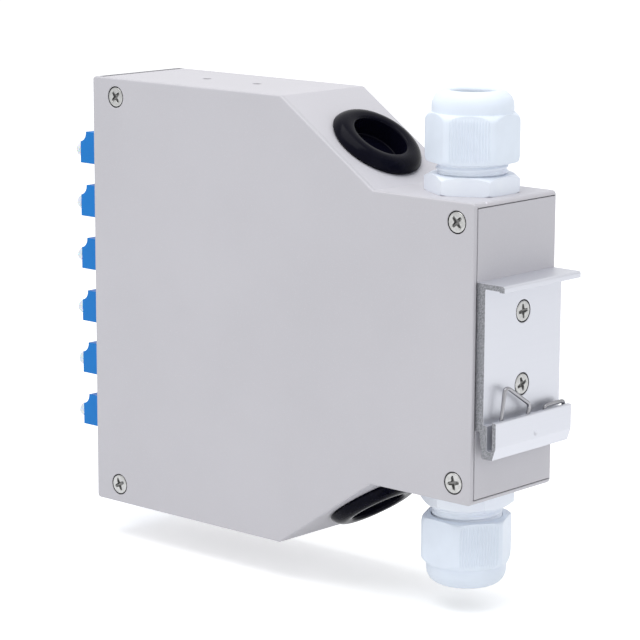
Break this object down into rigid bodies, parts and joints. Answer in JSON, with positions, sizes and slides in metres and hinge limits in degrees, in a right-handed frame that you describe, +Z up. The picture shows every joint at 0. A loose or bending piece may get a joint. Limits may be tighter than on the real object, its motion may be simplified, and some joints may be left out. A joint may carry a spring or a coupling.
{
  "type": "din rail fibre box",
  "caption": "Flat sheet steel fibre termination box with duplex adapters on its front edge, stepped rear end with cable glands and blind grommets, and a clip for a 35 mm rail.",
  "frame": {"origin": "centre of the rail seat: on the outer face of the rail clip's plate, in the case's middle plane, level with the rail's centre line", "axes": "+X out of the clip towards the rail, so the adapters face -X; +Z up; the screwed side cover faces -Y"},
  "size_m": [0.1702, 0.035, 0.1326],
  "materials": {
    "case_paint": "fine powder coat, satin",
    "cover_paint": "fine powder coat, satin",
    "block_steel": "plated, dull",
    "screw_steel": "bright plated",
    "spring_steel": "bright, folded",
    "nut_steel": "plated",
    "spring_wire": "bright drawn wire",
    "clip_aluminium": "extruded, fine matt, sawn ends",
    "adapter_blue": "moulded, half gloss",
    "cap_plastic": "soft, milky clear",
    "gland_plastic": "moulded polyamide, satin",
    "seal_rubber": "matt",
    "grommet_rubber": "moulded, half gloss",
    "comb_rubber": "soft, white",
    "sleeve_ceramic": "polished white ceramic",
    "tray_plastic": "moulded",
    "lid_clear": "clear sheet",
    "anchor_brass": "turned"
  },
  "bodies": {
    "case": {"enclosure_base": "case_paint", "side_cover": "cover_paint", "cover_blocks": "block_steel", "cover_screws": "screw_steel", "alignment_sleeves": "sleeve_ceramic", "adapter_clips": "spring_steel", "adapter_1": "adapter_blue", "adapter_2": "adapter_blue", "adapter_3": "adapter_blue", "adapter_4": "adapter_blue", "adapter_5": "adapter_blue", "adapter_6": "adapter_blue", "upper_gland_body": "gland_plastic", "upper_gland_gasket": "seal_rubber", "upper_gland_locknut": "gland_plastic", "lower_gland_body": "gland_plastic", "lower_gland_gasket": "seal_rubber", "lower_gland_locknut": "gland_plastic", "upper_grommet": "grommet_rubber", "lower_grommet": "grommet_rubber", "rail_clip": "clip_aluminium", "rail_spring": "spring_wire", "clip_screws": "screw_steel", "clip_nuts": "nut_steel", "splice_tray": "tray_plastic", "tray_lid": "lid_clear", "splice_comb": "comb_rubber", "tray_posts": "block_steel", "tray_screws": "screw_steel", "anchor_post": "anchor_brass", "anchor_screw": "screw_steel"},
    "dust_cap_1": {"dust_cap_1": "cap_plastic"},
    "dust_cap_2": {"dust_cap_2": "cap_plastic"},
    "dust_cap_3": {"dust_cap_3": "cap_plastic"},
    "dust_cap_4": {"dust_cap_4": "cap_plastic"},
    "dust_cap_5": {"dust_cap_5": "cap_plastic"},
    "dust_cap_6": {"dust_cap_6": "cap_plastic"},
    "upper_seal": {"upper_gland_seal": "seal_rubber"},
    "upper_nut": {"upper_gland_nut": "gland_plastic"},
    "lower_seal": {"lower_gland_seal": "seal_rubber"},
    "lower_nut": {"lower_gland_nut": "gland_plastic"}
  },
  "joints": [
    {"name": "pull_dust_cap_1", "type": "slide", "parent": "case", "child": "dust_cap_1", "axis": [-1, 0, 0], "range_m": [0, 0.012]},
    {"name": "pull_dust_cap_2", "type": "slide", "parent": "case", "child": "dust_cap_2", "axis": [-1, 0, 0], "range_m": [0, 0.012]},
    {"name": "pull_dust_cap_3", "type": "slide", "parent": "case", "child": "dust_cap_3", "axis": [-1, 0, 0], "range_m": [0, 0.012]},
    {"name": "pull_dust_cap_4", "type": "slide", "parent": "case", "child": "dust_cap_4", "axis": [-1, 0, 0], "range_m": [0, 0.012]},
    {"name": "pull_dust_cap_5", "type": "slide", "parent": "case", "child": "dust_cap_5", "axis": [-1, 0, 0], "range_m": [0, 0.012]},
    {"name": "pull_dust_cap_6", "type": "slide", "parent": "case", "child": "dust_cap_6", "axis": [-1, 0, 0], "range_m": [0, 0.012]},
    {"name": "upper_nut_rise", "type": "slide", "parent": "case", "child": "upper_seal", "axis": [0, 0, 1], "range_m": [-0.0024, 0.006]},
    {"name": "upper_nut_turn", "type": "hinge", "parent": "upper_seal", "child": "upper_nut", "pos_m": [-0.0178, 0, 0.0393], "axis": [0, 0, 1], "range_deg": [-576, 1440]},
    {"name": "lower_nut_rise", "type": "slide", "parent": "case", "child": "lower_seal", "axis": [0, 0, -1], "range_m": [-0.0024, 0.006]},
    {"name": "lower_nut_turn", "type": "hinge", "parent": "lower_seal", "child": "lower_nut", "pos_m": [-0.0178, 0, -0.0399], "axis": [0, 0, -1], "range_deg": [-576, 1440]}
  ],
  "couplings": [
    {"joint": "upper_nut_turn", "follows": "upper_nut_rise", "rad_per_m": 4188.8},
    {"joint": "lower_nut_turn", "follows": "lower_nut_rise", "rad_per_m": 4188.8}
  ]
}
